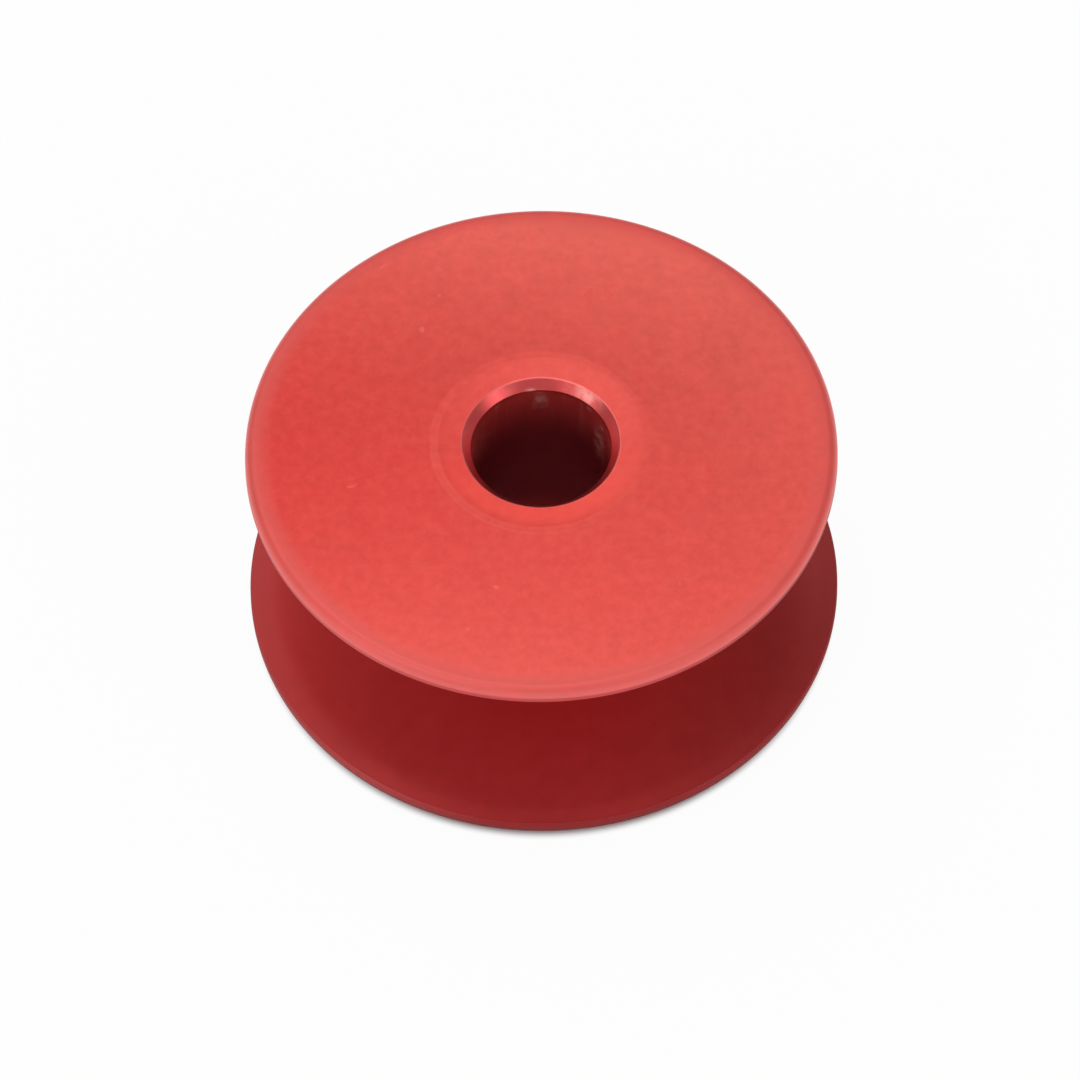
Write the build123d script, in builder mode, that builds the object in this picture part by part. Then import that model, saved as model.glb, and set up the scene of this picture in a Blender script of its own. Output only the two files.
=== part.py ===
from build123d import *
import os

# A sewing machine bobbin, turned in one piece from aluminium bar and anodised red.
# A thin-walled core stands between two flanges that taper towards their rounded rims. The bore
# runs right through, with a chamfered mouth in a shallow dish at each end. Round the dish is a
# narrow raised land, the highest plane of the part, which it stands on and is gripped by.
# The origin is on the bore's axis, halfway between the ends, and +Z runs along the axis.

os.makedirs("parts", exist_ok=True)

# Lengths in millimetres
flange_diameter = 25.4  # one inch over the rims
overall_width = 11.7  # from the land on one end to the land on the other
bore_diameter = 6.0
bore_chamfer = 0.38
core_diameter = 8.4  # where the thread is wound

land_diameter = 9.2  # middle of the raised ring on each end
land_width = 0.3
dish_depth = 0.05  # of the end face beside the bore, below the land

rim_drop = 0.45  # from the land down to the outer face at the rim
rim_thickness = 0.75
rim_round = 0.45  # on the edge away from the thread
rim_break = 0.08  # chamfer on the edge beside the thread
root_fillet = 0.5  # where the core runs into each flange

# Radii from the axis
bore_radius = bore_diameter / 2
core_radius = core_diameter / 2
flange_radius = flange_diameter / 2
land_inner_radius = (land_diameter - land_width) / 2
land_outer_radius = (land_diameter + land_width) / 2

# Heights above the middle of the bobbin
land_height = overall_width / 2
dish_height = land_height - dish_depth
rim_height = land_height - rim_drop
groove_height = rim_height - rim_thickness

# The rounding and the chamfer leave a narrow cylindrical edge between them on a thin rim too
outer_round = min(rim_round, 0.65 * rim_thickness)
inner_break = min(rim_break, 0.3 * rim_thickness)

with BuildPart() as bobbin:
    with BuildSketch(Plane.XZ) as section:
        with BuildLine():
            upper_half = Polyline(
                (bore_radius, 0),
                (bore_radius, dish_height),
                (land_inner_radius, land_height),
                (land_outer_radius, land_height),
                (flange_radius, rim_height),
                (flange_radius, groove_height),
                (core_radius, groove_height),
                (core_radius, 0),
            )
            mirror(upper_half, about=Plane.XZ)
        make_face()

        def corners(radius, height):
            """The section's two corners at this radius, one this far above the middle and one below."""
            here = section.vertices().filter_by(lambda corner: abs(corner.X - radius) < 1e-5)
            return here.filter_by(lambda corner: abs(abs(corner.Y) - height) < 1e-5)

        chamfer(corners(bore_radius, dish_height), length=bore_chamfer)
        chamfer(corners(flange_radius, groove_height), length=inner_break)
        fillet(corners(flange_radius, rim_height), radius=outer_round)
        fillet(corners(core_radius, groove_height), radius=root_fillet)
    revolve(axis=Axis.Z)

bobbin.part.label = "bobbin"
bobbin.part.color = Color(0.72, 0.08, 0.07)
export_step(bobbin.part, "parts/bobbin.step")

bore_wall = bobbin.faces().filter_by(GeomType.CYLINDER).sort_by(lambda face: face.radius)[0]
print(f"bore wall {bore_wall.bounding_box().size.Z:.3f} mm long")
print(f"groove {2 * groove_height:.3f} mm wide and {flange_radius - core_radius:.3f} mm deep")
print(f"volume {bobbin.part.volume:.1f} mm3, {len(bobbin.part.faces())} faces")
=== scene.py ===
"""Looks of a turned, red anodised sewing machine bobbin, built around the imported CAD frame."""

import math
from types import SimpleNamespace

import bpy
from mathutils import Euler, Matrix, Vector


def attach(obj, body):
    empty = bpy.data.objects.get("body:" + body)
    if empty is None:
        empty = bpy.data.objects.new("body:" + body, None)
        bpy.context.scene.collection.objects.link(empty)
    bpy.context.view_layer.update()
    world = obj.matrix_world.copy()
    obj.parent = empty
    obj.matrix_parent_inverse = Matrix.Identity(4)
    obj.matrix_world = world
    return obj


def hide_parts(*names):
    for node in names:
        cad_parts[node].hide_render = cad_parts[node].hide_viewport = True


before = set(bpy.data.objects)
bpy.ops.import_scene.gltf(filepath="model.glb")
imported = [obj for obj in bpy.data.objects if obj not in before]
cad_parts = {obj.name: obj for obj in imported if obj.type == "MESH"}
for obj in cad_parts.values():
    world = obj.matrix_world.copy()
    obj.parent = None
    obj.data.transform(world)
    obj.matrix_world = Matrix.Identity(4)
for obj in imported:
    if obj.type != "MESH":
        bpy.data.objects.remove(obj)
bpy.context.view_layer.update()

MM = 0.001

# Sizes in millimetres, as the CAD part has them
FLANGE_RADIUS = 12.7
LAND_HEIGHT = 5.85
BORE_RADIUS = 3.0
BORE_CHAMFER = 0.38
CORE_RADIUS = 4.2
LAND_RADIUS = 4.6
LAND_WIDTH = 0.3
DISH_DEPTH = 0.05
RIM_DROP = 0.45
RIM_THICKNESS = 0.75
RIM_ROUND = 0.45
RIM_BREAK = 0.08
ROOT_FILLET = 0.5

# Heights above the middle, and the radius of the mouth
DISH_HEIGHT = LAND_HEIGHT - DISH_DEPTH
BORE_TOP = DISH_HEIGHT - BORE_CHAMFER
RIM_HEIGHT = LAND_HEIGHT - RIM_DROP
GROOVE_HEIGHT = RIM_HEIGHT - RIM_THICKNESS
SIDE_TOP = RIM_HEIGHT - RIM_ROUND
SIDE_END = GROOVE_HEIGHT + RIM_BREAK
MOUTH_EDGE = BORE_RADIUS + BORE_CHAMFER

# Rounding of the edges that the CAD part leaves sharp
SOFT_EDGE = 0.10
LAND_EDGE = 1.2
BREAK_EDGE = 0.04

# Steps round the axis, and the largest step along a rounding
TURN_STEPS = 640
ARC_STEP = math.radians(9)

# Camera: a long lens from the front, over the right height, and a slight lean of the frame
CAMERA_DISTANCE = 800.0
CAMERA_ELEVATION = math.radians(55.3)
CAMERA_ROLL = math.radians(1.15)
PIXELS_PER_MM = 23.22
FRAME_PIXELS = 1080
OBJECT_PIXEL = (542.6, 519.8)
SENSOR_MM = 36.0

# Distances in metres: what the camera clips, the lamps, and the floor, whose edge curves up all round
CLIP_START = 0.05
CLIP_END = 10.0
LAMP_DISTANCE = 0.5
GROUND_RADIUS = 0.8
GROUND_COVE = 0.1
GROUND_STEPS = 128
COVE_ANGLES = range(0, 91, 10)

# Light levels: 1 is a white sheet as the camera shows it
WORLD_LEVEL = 0.36
GROUND_GLOW = 0.95
WHITE = (1, 1, 1, 1)
PAPER = (0.9, 0.9, 0.9, 1)

# Millimetres from the floor's middle between which its shade gives way to its glow, as the camera
# sees it and as the metal mirrors it
CAMERA_SHADE = (12.2, 12.7)
MIRROR_SHADE = (12.4, 22.0)

# The anodised colour, deeper or paler where the finish differs at the mouth, and colours painted over it
# as light, shade and sheen on the dish, the rim, the lower edge, the groove and the bore
DYE = (0.772, 0.047, 0.036, 1)
PALE_DYE_AND_SHEEN = (0.96, 0.167, 0.128, 1)
# Painted light on the dish round the mouth, lighter still at its near side
DISH_PAINTED_LIGHT = (0.835, 0.063, 0.051, 1)
NEAR_DISH_PAINTED_LIGHT = (0.98, 0.084, 0.063, 1)
# Painted sheen, paler towards the rim and on the rim's side
RIM_PAINTED_SHEEN = (0.86, 0.137, 0.118, 1)
RIM_SIDE_PAINTED_SHEEN = (0.90, 0.178, 0.163, 1)
# Painted shade on the lower flange's side and rounded edge, next to the floor
LOW_SIDE_PAINTED_SHADE = (0.44, 0.036, 0.037, 1)
LOW_ROUND_PAINTED_SHADE = (0.30, 0.034, 0.036, 1)
# Painted shade in the groove between the flanges, deeper on the left and darker still on the right
GROOVE_PAINTED_SHADE = (0.66, 0.082, 0.083, 1)
LEFT_GROOVE_PAINTED_SHADE = (0.62, 0.052, 0.052, 1)
RIGHT_GROOVE_PAINTED_SHADE = (0.50, 0.060, 0.060, 1)
# Painted light on the groove's outer left part
GROOVE_PAINTED_LIGHT = (0.78, 0.150, 0.150, 1)
CHAMFER_DYE = (0.79, 0.064, 0.064, 1)
# The bore's wall, painted lighter near the mouth and darker deeper down, as painted light and shade
BORE_MOUTH_PAINTED_LIGHT = (0.88, 0.110, 0.100, 1)
DEEP_BORE_PAINTED_SHADE = (0.34, 0.034, 0.048, 1)
# Bare metal, for the rub marks in the bore, and the colour of the painted highlights at the mouth
BARE_METAL_AND_HIGHLIGHT = (0.98, 0.47, 0.42, 1)

# Zones of the finish and of the painted light and shade, each of which grows from its first limit to its
# second, in millimetres. RADII are from the axis and HEIGHTS from the middle, either way. X is to the
# right, Y back and Z up.
MOUTH_RADII = (MOUTH_EDGE + 0.05, MOUTH_EDGE)
BORE_HEIGHTS = (BORE_TOP, BORE_TOP - 0.1)
# Where the bore's painted shade deepens
DEEP_BORE_HEIGHTS = (BORE_TOP, BORE_TOP - 3.5)
DISH_RADII = (LAND_RADIUS + 0.15, LAND_RADIUS - 0.7)
NEAR_Y = (0.0, -BORE_RADIUS)
GROOVE_HEIGHTS = (SIDE_END + 0.32, SIDE_END + 0.14)
RIM_RADII = (FLANGE_RADIUS - 1.2, FLANGE_RADIUS - RIM_ROUND / 2)
RIM_SIDE_RADII = (FLANGE_RADIUS - RIM_ROUND, FLANGE_RADIUS - RIM_ROUND / 3)
RIM_SIDE_HEIGHTS = (RIM_HEIGHT, RIM_HEIGHT - 0.2)
LOWER_HALF_Z = (0.5, -0.5)
LOW_SIDE_RADII = (FLANGE_RADIUS - 0.15, FLANGE_RADIUS - 0.05)
LOW_ROUND_RADII = (FLANGE_RADIUS - 1.0, FLANGE_RADIUS - RIM_ROUND)
LOW_ROUND_HEIGHTS = (SIDE_TOP, SIDE_TOP + 0.15)
RIGHT_X = (0.2 * FLANGE_RADIUS, FLANGE_RADIUS)
LEFT_X = (-0.2 * FLANGE_RADIUS, -FLANGE_RADIUS)
# Where the groove's outer left part gets painted light
GROOVE_LIGHT_RADII = (FLANGE_RADIUS - 1.6, FLANGE_RADIUS - 0.3)
GROOVE_LIGHT_X = (-0.15 * FLANGE_RADIUS, -0.65 * FLANGE_RADIUS)
LAND_FADE = 0.1

# How far the ends are paler: painted highlight on the land, painted sheen to the far right and near and
# far, and the mottle and specks. The range is in shares of the flange's radius towards that side.
LAND_PAINTED_HIGHLIGHT = 0.3
SIDE_PAINTED_SHEEN = 0.75
SIDE_SHEEN_ANGLE = math.radians(50)
SIDE_SHEEN_RANGE = (-0.6, 1.25)
ENDS_PAINTED_SHEEN = 0.45
PALE_MOTTLE = 0.48
MOTTLE_LEVEL = 0.4
PALE_SPECK = 0.45

# How far the groove's outer left part is painted lighter, as painted light from the left
GROOVE_LIGHT_SHARE = 0.4

# A painted highlight along the edge of the mouth: its strength, and the middle of its line, half its
# width, and its soft edge
MOUTH_EDGE_HIGHLIGHT = 0.10
MOUTH_EDGE_HIGHLIGHT_LINE = (MOUTH_EDGE + 0.02, 0.02, 0.05)

# Painted highlights, glints and reflections at the upper mouth, each strongest in its middle: direction
# and half width in degrees, start and end below the chamfer in millimetres, and how strong. 90 degrees is
# at the back.
MOUTH_HIGHLIGHTS = (
    (50, 24, -0.65, 0.2, 0.42),  # painted highlight, right far part of the chamfer
    (121, 20, -0.6, 0.15, 0.08),  # painted highlight, left far part of the chamfer
    (98, 7, -0.14, 0.10, 0.60),  # painted glint on the chamfer's lower edge
    (90, 9, -0.1, 1.6, 0.95),  # painted reflection, a streak at the back of the bore
    (45, 5, 0.05, 0.45, 1.0),  # small painted glints under the chamfer
    (29, 5, 0.5, 0.95, 1.0),
    (128, 6, 0.05, 0.45, 0.45),
    (33, 11, 0.2, 3.8, 0.85),  # painted light, a lighter patch at the right
    (152, 28, -0.4, 3.4, 0.15),  # painted light, a faint patch at the left
)

# The fine mottle breaks the painted highlights up: its range, and the shares at the range's two ends
HIGHLIGHT_BREAK_RANGE = (0.35, 0.6)
HIGHLIGHT_BREAK_SHARES = (0.25, 1.3)

# Gloss: the metal's roughness on the ends and at the mouth, and the clear layer over it
FACE_ROUGHNESS = 0.58
RIM_ROUGHNESS = 0.70
MOUTH_ROUGHNESS = 0.32
COAT_WEIGHT = 0.6
MOUTH_COAT = 1.0
BORE_COAT = 0.15
GROOVE_COAT = 0.3
COAT_ROUGHNESS = 0.32

# Patterns of the finish: how many marks there are in a millimetre, how they are drawn out, and the
# values between which a pattern becomes a mark
NOISE_MIDDLE = 0.5
TURNING_PER_MM = 4.0
TURNING_DRIFT = 0.15
GRAIN_PER_MM = 6.0
MOTTLE_PER_MM = 1.1
FINE_MOTTLE_PER_MM = 2.2
MOTTLE_CRISPNESS = 0.6
CLOUD_PER_MM = 0.16
SPECK_PER_MM = 1.7
SPECK_RANGE = (0.85, 0.91)
RUB_PER_MM = 3.0
RUB_SHAPE = (1, 1, 0.08)
RUB_RANGE = (0.58, 0.72)

# How far the patterns change the colour, the roughness and, in millimetres, the surface
DYE_SPREAD = 0.09
CLOUD_SPREAD = 0.045
GRAIN_SPREAD = 0.01
TURNING_SPREAD = 0.02
RUB_SHARE = 0.2
ROUGHNESS_SPREAD = 0.10
GRAIN_HEIGHT = 0.0011
TURNING_HEIGHT = 0.0022


def corner(radius, height, rounding):
    """A corner of the turned section, in millimetres from the axis and from the middle."""
    return Vector((radius, height)), rounding


def upper_section():
    """Corners of the section's upper half, from the bore over the end and the rim to the core."""
    land_inner = LAND_RADIUS - LAND_WIDTH / 2
    land_outer = LAND_RADIUS + LAND_WIDTH / 2
    dish_slope = math.atan(DISH_DEPTH / (land_inner - BORE_RADIUS))
    mouth = BORE_RADIUS + BORE_CHAMFER * math.cos(dish_slope)
    mouth_height = DISH_HEIGHT + BORE_CHAMFER * math.sin(dish_slope)
    return [
        corner(BORE_RADIUS, BORE_TOP, SOFT_EDGE),
        corner(mouth, mouth_height, SOFT_EDGE),
        corner(land_inner, LAND_HEIGHT, LAND_EDGE),
        corner(land_outer, LAND_HEIGHT, LAND_EDGE),
        corner(FLANGE_RADIUS, RIM_HEIGHT, RIM_ROUND),
        corner(FLANGE_RADIUS, SIDE_END, BREAK_EDGE),
        corner(FLANGE_RADIUS - RIM_BREAK, GROOVE_HEIGHT, BREAK_EDGE),
        corner(CORE_RADIUS, GROOVE_HEIGHT, ROOT_FILLET),
    ]


def whole_section():
    """The closed section: the upper half, then its mirror image below the middle."""
    upper = upper_section()
    lower = [(Vector((point.x, -point.y)), rounding) for point, rounding in reversed(upper)]
    return upper + lower


def rounded_outline(corners):
    """Points and outward normals along the closed outline, with a tangent arc at each corner."""
    outline = []
    count = len(corners)
    for index, (point, rounding) in enumerate(corners):
        before = (point - corners[index - 1][0]).normalized()
        after = (corners[(index + 1) % count][0] - point).normalized()
        turn = math.atan2(before.x * after.y - before.y * after.x, before.dot(after))
        reach = rounding * math.tan(abs(turn) / 2)
        side = math.copysign(1.0, turn)
        start = point - before * reach
        to_centre = Vector((-before.y, before.x)) * side
        centre = start + to_centre * rounding
        steps = max(2, math.ceil(abs(turn) / ARC_STEP))
        for step in range(steps + 1):
            angle = turn * step / steps
            spoke = Matrix.Rotation(angle, 2) @ (-to_centre)
            outline.append((centre + spoke * rounding, spoke * -side))
    return outline


def turned_mesh(name, outline):
    """The outline turned about Z, in metres, with the outline's own normals."""
    spokes = [2 * math.pi * turn / TURN_STEPS for turn in range(TURN_STEPS)]
    points, normals, faces = [], [], []
    for angle in spokes:
        across = Vector((math.cos(angle), math.sin(angle)))
        for place, normal in outline:
            points.append((across.x * place.x * MM, across.y * place.x * MM, place.y * MM))
            normals.append((across.x * normal.x, across.y * normal.x, normal.y))
    ring = len(outline)
    for turn in range(TURN_STEPS):
        here = turn * ring
        there = (turn + 1) % TURN_STEPS * ring
        for step in range(ring):
            along = (step + 1) % ring
            faces.append((here + step, here + along, there + along, there + step))
    mesh = bpy.data.meshes.new(name)
    mesh.from_pydata(points, [], faces)
    mesh.shade_smooth()
    mesh.normals_split_custom_set_from_vertices(normals)
    return mesh


def make_bobbin(material):
    """The dressed part: the section turned in one mesh, which stands for the CAD node."""
    mesh = turned_mesh("turned_bobbin", rounded_outline(whole_section()))
    mesh.materials.append(material)
    bobbin = bpy.data.objects.new("turned_bobbin", mesh)
    bpy.context.scene.collection.objects.link(bobbin)
    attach(bobbin, "root")
    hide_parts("bobbin")


class Graph:
    """A material's or world's node tree, filled by short calls. Most give back a socket."""

    def __init__(self, owner):
        owner.use_nodes = True
        self.tree = owner.node_tree
        self.tree.nodes.clear()

    def node(self, kind, inputs=None, **settings):
        """A new node of this kind. An input is a value, or another node's output socket."""
        node = self.tree.nodes.new(kind)
        for name, value in settings.items():
            setattr(node, name, value)
        for name, value in (inputs or {}).items():
            if isinstance(value, bpy.types.NodeSocket):
                self.tree.links.new(value, node.inputs[name])
            else:
                node.inputs[name].default_value = value
        return node

    def math(self, operation, first, second=0.0, clamp=False):
        node = self.node("ShaderNodeMath", {0: first, 1: second}, operation=operation, use_clamp=clamp)
        return node.outputs[0]

    def times(self, first, *others):
        """The product of all the values."""
        for other in others:
            first = self.math("MULTIPLY", first, other)
        return first

    def ramp(self, value, start, end, low=0.0, high=1.0):
        """A smooth step from low, where the value is at start, to high, where it is at end."""
        inputs = {"Value": value, "From Min": start, "From Max": end, "To Min": low, "To Max": high}
        return self.node("ShaderNodeMapRange", inputs, interpolation_type="SMOOTHSTEP").outputs[0]

    def band(self, value, middle, half, soft):
        """1 within half of the middle, and 0 from a soft edge further out."""
        away = self.math("ABSOLUTE", self.math("SUBTRACT", value, middle))
        return self.ramp(away, half, half + soft, 1.0, 0.0)

    def vector(self, x, y, z=0.0):
        return self.node("ShaderNodeCombineXYZ", {"X": x, "Y": y, "Z": z}).outputs[0]

    def vector_times(self, first, second):
        return self.node("ShaderNodeVectorMath", {0: first, 1: second}, operation="MULTIPLY").outputs[0]

    def length(self, vector):
        return self.node("ShaderNodeVectorMath", {0: vector}, operation="LENGTH").outputs["Value"]

    def noise(self, vector, scale, detail=2.0, roughness=0.5):
        inputs = {"Vector": vector, "Scale": scale, "Detail": detail, "Roughness": roughness}
        return self.node("ShaderNodeTexNoise", inputs).outputs["Fac"]

    def blend(self, share, first, second):
        """The first colour where the share is 0, and the second where it is 1."""
        return self.node("ShaderNodeMix", {0: share, 6: first, 7: second}, data_type="RGBA").outputs[2]


def part_place(graph):
    """The place on the part in millimetres: x, y and z, and distances from the axis and the middle."""
    metres = graph.node("ShaderNodeTexCoord").outputs["Object"]
    point = graph.vector_times(metres, (1 / MM, 1 / MM, 1 / MM))
    x, y, z = graph.node("ShaderNodeSeparateXYZ", {0: point}).outputs
    radius = graph.length(graph.vector(x, y))
    height = graph.math("ABSOLUTE", z)
    return SimpleNamespace(point=point, x=x, y=y, z=z, radius=radius, height=height)


def finish_patterns(graph, at):
    """Patterns of the finish, each from 0 to 1."""
    # Rings of constant radius on the ends, and of constant height in the bore and on the core
    travel = graph.times(graph.math("ADD", at.radius, at.z), TURNING_PER_MM)
    rings = graph.vector(travel, graph.times(at.x, TURNING_DRIFT), graph.times(at.y, TURNING_DRIFT))
    # Rub marks run down the bore from its mouth
    down = graph.vector_times(at.point, RUB_SHAPE)
    rub = graph.noise(down, RUB_PER_MM, detail=1.0)
    speck = graph.noise(at.point, SPECK_PER_MM, detail=0.0)
    return SimpleNamespace(
        turning=graph.noise(rings, 1.0, detail=3.0),
        grain=graph.noise(at.point, GRAIN_PER_MM),
        mottle=graph.noise(at.point, MOTTLE_PER_MM, detail=4.0, roughness=MOTTLE_CRISPNESS),
        fine_mottle=graph.noise(at.point, FINE_MOTTLE_PER_MM, detail=3.0, roughness=MOTTLE_CRISPNESS),
        cloud=graph.noise(at.point, CLOUD_PER_MM, detail=1.0),
        rub=graph.ramp(rub, *RUB_RANGE),
        speck=graph.ramp(speck, *SPECK_RANGE),
    )


def finish_zones(graph, at):
    """Where the finish differs, and where light and shade are painted, each from 0 to 1."""
    mouth = graph.ramp(at.radius, *MOUTH_RADII)
    outside = graph.math("SUBTRACT", 1.0, mouth)
    groove = graph.times(graph.ramp(at.height, *GROOVE_HEIGHTS), outside)
    lower = graph.ramp(at.z, *LOWER_HALF_Z)
    # Where painted shade darkens the lower flange's side and rounded edge
    low_side = graph.times(graph.ramp(at.radius, *LOW_SIDE_RADII), lower)
    low_round = graph.times(graph.ramp(at.height, *LOW_ROUND_HEIGHTS), lower)
    rim_side = graph.ramp(at.radius, *RIM_SIDE_RADII)
    # Painted light on the groove's outer left part
    painted_groove_light = graph.ramp(at.radius, *GROOVE_LIGHT_RADII, 0.0, GROOVE_LIGHT_SHARE)
    painted_groove_light = graph.times(painted_groove_light, graph.ramp(at.x, *GROOVE_LIGHT_X))
    return SimpleNamespace(
        mouth=mouth,
        bore=graph.times(mouth, graph.ramp(at.height, *BORE_HEIGHTS)),
        deep=graph.ramp(at.height, *DEEP_BORE_HEIGHTS),
        dish=graph.ramp(at.radius, *DISH_RADII),
        near=graph.ramp(at.y, *NEAR_Y),
        rim=graph.ramp(at.radius, *RIM_RADII),
        rim_side=graph.times(rim_side, graph.ramp(at.height, *RIM_SIDE_HEIGHTS)),
        groove=groove,
        right=graph.ramp(at.x, *RIGHT_X),
        left=graph.ramp(at.x, *LEFT_X),
        low_side=low_side,
        low_round=graph.times(low_round, graph.ramp(at.radius, *LOW_ROUND_RADII)),
        painted_groove_light=graph.times(painted_groove_light, graph.math("MAXIMUM", groove, low_side)),
    )


def sheen_and_pale_share(graph, at, patterns):
    """How pale the colour is at each place, from 0 to 1: painted highlight on the land, painted sheen,
    mottle and specks.
    """
    # Painted highlight on the land
    land = graph.times(graph.band(at.radius, LAND_RADIUS, LAND_WIDTH / 2, LAND_FADE), LAND_PAINTED_HIGHLIGHT)
    # Painted sheen, stronger towards the far right
    right = graph.times(at.x, math.cos(SIDE_SHEEN_ANGLE) / FLANGE_RADIUS)
    back = graph.times(at.y, math.sin(SIDE_SHEEN_ANGLE) / FLANGE_RADIUS)
    side = graph.ramp(graph.math("ADD", right, back), *SIDE_SHEEN_RANGE, 0.0, SIDE_PAINTED_SHEEN)
    # Painted sheen near and far
    depth = graph.math("DIVIDE", at.y, FLANGE_RADIUS)
    ends = graph.times(depth, depth, ENDS_PAINTED_SHEEN)
    pale = graph.math("MAXIMUM", land, graph.math("ADD", side, ends))
    mottle = graph.math("SUBTRACT", patterns.fine_mottle, MOTTLE_LEVEL)
    pale = graph.math("ADD", pale, graph.times(mottle, PALE_MOTTLE))
    return graph.math("ADD", pale, graph.times(patterns.speck, PALE_SPECK), clamp=True)


def mouth_highlight_share(graph, at, patterns):
    """How strong the painted highlights, glints and reflections are at each place of the upper mouth, from
    0 to 1.
    """
    direction = graph.times(graph.math("ARCTAN2", at.y, at.x), math.degrees(1))
    depth = graph.math("SUBTRACT", BORE_TOP, at.z)
    painted_glint = 0.0
    for where, half_width, start, end, share in MOUTH_HIGHLIGHTS:
        across = graph.band(direction, where, 0.0, half_width)
        along = graph.band(depth, (start + end) / 2, 0.0, (end - start) / 2)
        painted_glint = graph.math("MAXIMUM", painted_glint, graph.times(across, along, share))
    return graph.times(painted_glint, graph.ramp(patterns.fine_mottle, *HIGHLIGHT_BREAK_RANGE, *HIGHLIGHT_BREAK_SHARES))


def dye_colour(graph, at, patterns, zones):
    """The colour at each place: layers of finish and of painted light, shade, sheen and highlights, each
    over those before it, and then the patterns' shades.
    """
    # Painted light: the dish is lighter than the end, and lighter still at its near side, where its slope
    # is shaded
    dish = graph.blend(zones.near, DISH_PAINTED_LIGHT, NEAR_DISH_PAINTED_LIGHT)
    # Painted shade in the groove, darker on the right
    groove = graph.blend(zones.left, GROOVE_PAINTED_SHADE, LEFT_GROOVE_PAINTED_SHADE)
    groove = graph.blend(zones.right, groove, RIGHT_GROOVE_PAINTED_SHADE)
    # Painted light near the mouth with rub marks of bare metal, then painted shade deeper in the bore
    bore = graph.blend(graph.times(patterns.rub, RUB_SHARE), BORE_MOUTH_PAINTED_LIGHT, BARE_METAL_AND_HIGHLIGHT)
    bore = graph.blend(zones.deep, bore, DEEP_BORE_PAINTED_SHADE)
    layers = (
        (zones.dish, dish),
        # Painted highlight and sheen on the ends, with the paler mottle and specks
        (sheen_and_pale_share(graph, at, patterns), PALE_DYE_AND_SHEEN),
        # Painted sheen towards the rim and on its side
        (zones.rim, RIM_PAINTED_SHEEN),
        (zones.rim_side, RIM_SIDE_PAINTED_SHEEN),
        (zones.groove, groove),
        # Painted shade on the lower flange's side
        (zones.low_side, LOW_SIDE_PAINTED_SHADE),
        # Painted light on the groove's outer left part
        (zones.painted_groove_light, GROOVE_PAINTED_LIGHT),
        # Painted shade on the lower flange's rounded edge
        (zones.low_round, LOW_ROUND_PAINTED_SHADE),
        (zones.mouth, CHAMFER_DYE),
        (zones.bore, bore),
        # Painted highlights, glints and reflections at the mouth
        (graph.times(mouth_highlight_share(graph, at, patterns), zones.mouth), BARE_METAL_AND_HIGHLIGHT),
        # Painted highlight along the edge of the mouth
        (graph.times(graph.band(at.radius, *MOUTH_EDGE_HIGHLIGHT_LINE), MOUTH_EDGE_HIGHLIGHT), BARE_METAL_AND_HIGHLIGHT),
    )
    colour = DYE
    for share, layer in layers:
        colour = graph.blend(share, colour, layer)
    spreads = (
        (patterns.mottle, DYE_SPREAD),
        (patterns.cloud, CLOUD_SPREAD),
        (patterns.grain, GRAIN_SPREAD),
        (patterns.turning, TURNING_SPREAD),
    )
    for pattern, spread in spreads:
        inputs = {"Value": pattern, "To Min": 1 - spread, "To Max": 1 + spread}
        shade = graph.node("ShaderNodeMapRange", inputs).outputs[0]
        colour = graph.vector_times(colour, graph.vector(shade, shade, shade))
    return colour


def finish_gloss(graph, patterns, zones):
    """The metal's roughness, and the share of the clear layer over it."""
    chamfer = graph.math("SUBTRACT", zones.mouth, zones.bore)
    roughness = graph.ramp(zones.rim, 0.0, 1.0, FACE_ROUGHNESS, RIM_ROUGHNESS)
    smoother = graph.times(chamfer, FACE_ROUGHNESS - MOUTH_ROUGHNESS)
    roughness = graph.math("SUBTRACT", roughness, smoother)
    uneven = graph.times(graph.math("SUBTRACT", patterns.mottle, NOISE_MIDDLE), ROUGHNESS_SPREAD)
    roughness = graph.math("ADD", roughness, uneven, clamp=True)

    coat = graph.ramp(chamfer, 0.0, 1.0, COAT_WEIGHT, MOUTH_COAT)
    thin = graph.math("MAXIMUM", zones.bore, graph.times(zones.low_round, zones.rim))
    coat = graph.math("SUBTRACT", coat, graph.times(thin, COAT_WEIGHT - BORE_COAT))
    coat = graph.math("SUBTRACT", coat, graph.times(zones.groove, COAT_WEIGHT - GROOVE_COAT))
    return roughness, coat


def finish_bump(graph, patterns):
    """Normals of the grain and the turning marks."""
    grain = graph.times(patterns.grain, GRAIN_HEIGHT)
    turning = graph.times(patterns.turning, TURNING_HEIGHT)
    inputs = {"Height": graph.math("ADD", grain, turning), "Distance": MM, "Strength": 1.0}
    return graph.node("ShaderNodeBump", inputs).outputs[0]


def anodised_red():
    """Dyed anodising over a blasted, turned surface, with light, shade and sheen painted into its colour.
    """
    material = bpy.data.materials.new("anodised_red")
    graph = Graph(material)
    at = part_place(graph)
    patterns = finish_patterns(graph, at)
    zones = finish_zones(graph, at)
    roughness, coat = finish_gloss(graph, patterns, zones)
    bump = finish_bump(graph, patterns)
    shader = graph.node(
        "ShaderNodeBsdfPrincipled",
        {
            "Base Color": dye_colour(graph, at, patterns, zones),
            "Metallic": 1.0,
            "Roughness": roughness,
            "Coat Weight": coat,
            "Coat Roughness": COAT_ROUGHNESS,
            "Normal": bump,
            "Coat Normal": bump,
        },
    )
    graph.node("ShaderNodeOutputMaterial", {"Surface": shader.outputs[0]})
    return material


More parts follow.
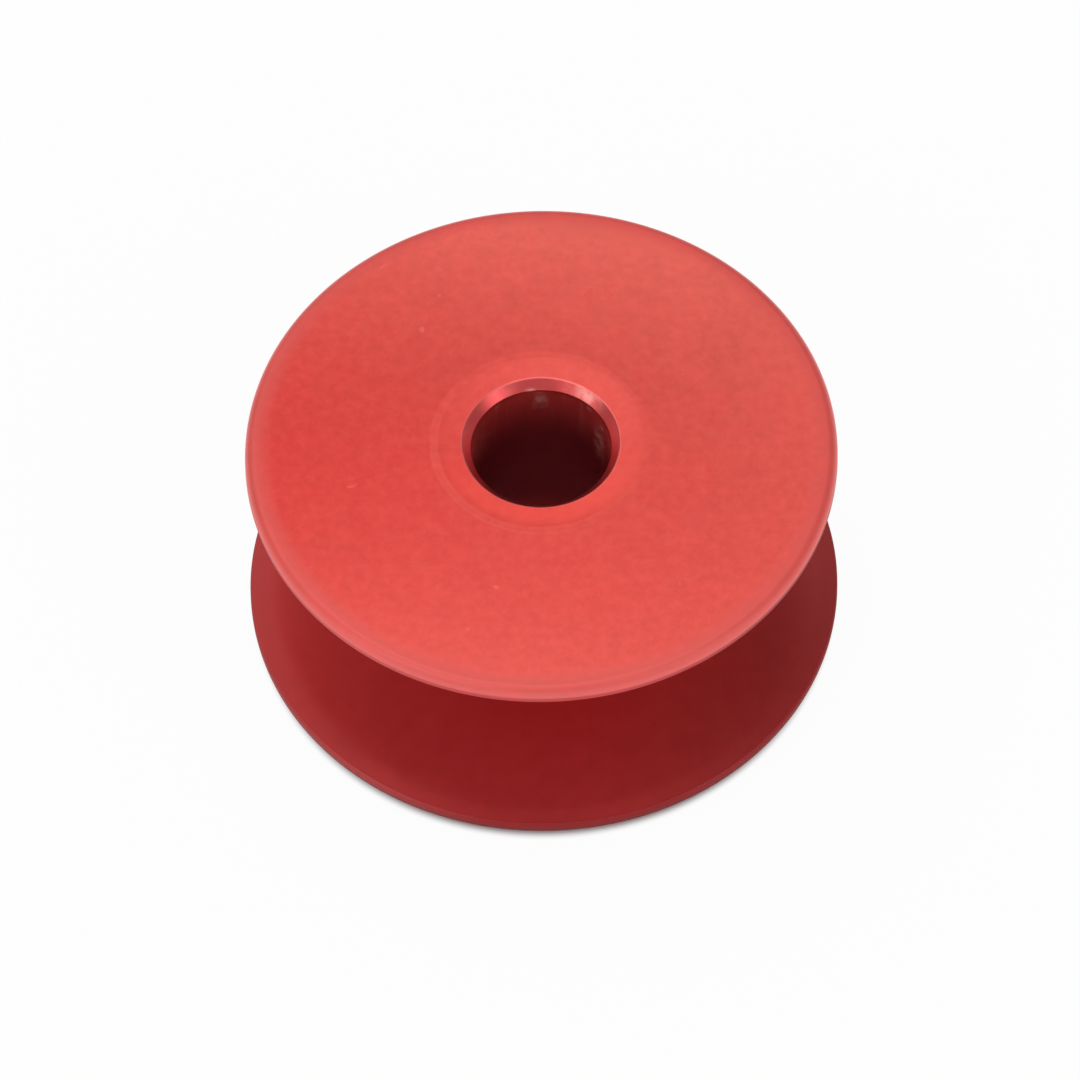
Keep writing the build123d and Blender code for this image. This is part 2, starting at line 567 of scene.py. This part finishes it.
def pale_ground():
    """A pale floor that looks white, and keeps the part's shadow under it and close round it."""
    material = bpy.data.materials.new("pale_ground")
    graph = Graph(material)
    ray = graph.node("ShaderNodeLightPath")
    mirrored = graph.math("MAXIMUM", ray.outputs["Is Glossy Ray"], ray.outputs["Is Transmission Ray"])
    away = graph.length(graph.node("ShaderNodeTexCoord").outputs["Object"])
    shares = []
    for seen, (start, end) in ((ray.outputs["Is Camera Ray"], CAMERA_SHADE), (mirrored, MIRROR_SHADE)):
        clear = graph.ramp(away, start * MM, end * MM, 0.0, GROUND_GLOW)
        shares.append(graph.times(seen, clear))
    share = graph.math("MAXIMUM", *shares)
    paper = graph.node("ShaderNodeBsdfDiffuse", {"Color": PAPER}).outputs[0]
    glow = graph.node("ShaderNodeEmission", {"Color": WHITE}).outputs[0]
    mix = graph.node("ShaderNodeMixShader", {0: share, 1: paper, 2: glow}).outputs[0]
    graph.node("ShaderNodeOutputMaterial", {"Surface": mix})
    return material


def make_ground():
    """A round floor whose edge curves up all round, so that it is white behind the part from each side."""
    rise = [math.radians(angle) for angle in COVE_ANGLES]
    profile = [(GROUND_RADIUS + GROUND_COVE * math.sin(a), GROUND_COVE * (1 - math.cos(a))) for a in rise]
    spokes = [2 * math.pi * step / GROUND_STEPS for step in range(GROUND_STEPS)]
    points = []
    for radius, height in profile:
        points += [(radius * math.cos(spoke), radius * math.sin(spoke), height) for spoke in spokes]
    faces = [tuple(range(GROUND_STEPS))]
    for ring in range(len(profile) - 1):
        for step in range(GROUND_STEPS):
            here = ring * GROUND_STEPS + step
            there = ring * GROUND_STEPS + (step + 1) % GROUND_STEPS
            faces.append((here, there, there + GROUND_STEPS, here + GROUND_STEPS))
    mesh = bpy.data.meshes.new("ground")
    mesh.from_pydata(points, [], faces)
    mesh.materials.append(pale_ground())
    ground = bpy.data.objects.new("ground", mesh)
    ground.location.z = -LAND_HEIGHT * MM
    bpy.context.scene.collection.objects.link(ground)


def make_world():
    """Even light from all round."""
    world = bpy.data.worlds.new("studio")
    bpy.context.scene.world = world
    graph = Graph(world)
    tent = graph.node("ShaderNodeBackground", {"Color": WHITE, "Strength": WORLD_LEVEL})
    graph.node("ShaderNodeOutputWorld", {"Surface": tent.outputs[0]})


def softbox(name, azimuth, elevation, spread, level):
    """A square lamp half a metre from the part. Azimuth 0 is in front, and 90 on the right.

    The spread is the angle from its middle to its edge, and the level is how bright it looks.
    """
    size = 2 * LAMP_DISTANCE * math.tan(math.radians(spread))
    data = bpy.data.lights.new(name, "AREA")
    data.shape = "SQUARE"
    data.size = size
    data.energy = level * math.pi * size**2
    lamp = bpy.data.objects.new(name, data)
    bpy.context.scene.collection.objects.link(lamp)
    lamp.visible_camera = False
    a, e = math.radians(azimuth), math.radians(elevation)
    away = Vector((math.sin(a) * math.cos(e), -math.cos(a) * math.cos(e), math.sin(e)))
    lamp.location = away * LAMP_DISTANCE
    lamp.rotation_euler = (-away).to_track_quat("-Z", "Y").to_euler()


def make_camera():
    """Looks along the photograph's line of sight, moved in the picture plane to frame the part."""
    data = bpy.data.cameras.new("camera")
    data.sensor_width = SENSOR_MM
    data.lens = PIXELS_PER_MM * CAMERA_DISTANCE / FRAME_PIXELS * SENSOR_MM
    data.clip_start = CLIP_START
    data.clip_end = CLIP_END
    camera = bpy.data.objects.new("camera", data)
    bpy.context.scene.collection.objects.link(camera)
    turn = Euler((math.pi / 2 - CAMERA_ELEVATION, 0, 0)).to_matrix()
    turn = turn @ Matrix.Rotation(-CAMERA_ROLL, 3, "Z")
    middle = FRAME_PIXELS / 2
    right = (middle - OBJECT_PIXEL[0]) / PIXELS_PER_MM
    up = (OBJECT_PIXEL[1] - middle) / PIXELS_PER_MM
    place = turn @ Vector((right, up, CAMERA_DISTANCE)) * MM
    camera.matrix_world = Matrix.Translation(place) @ turn.to_4x4()
    bpy.context.scene.camera = camera


make_bobbin(anodised_red())
make_ground()
make_world()
softbox("overhead_softbox", azimuth=0, elevation=88, spread=20, level=0.65)
softbox("high_back_softbox", azimuth=180, elevation=75, spread=15, level=1.3)
softbox("high_left_softbox", azimuth=-130, elevation=60, spread=15, level=0.75)
softbox("back_left_softbox", azimuth=-150, elevation=40, spread=15, level=0.5)
softbox("left_front_softbox", azimuth=-45, elevation=50, spread=15, level=1.8)
softbox("right_front_softbox", azimuth=45, elevation=50, spread=15, level=0.9)
softbox("low_left_softbox", azimuth=-65, elevation=26, spread=12, level=0.95)
softbox("low_right_softbox", azimuth=60, elevation=27, spread=12, level=1.3)
softbox("low_front_softbox", azimuth=0, elevation=15, spread=15, level=0.5)
make_camera()

bpy.context.scene.view_settings.view_transform = "Standard"
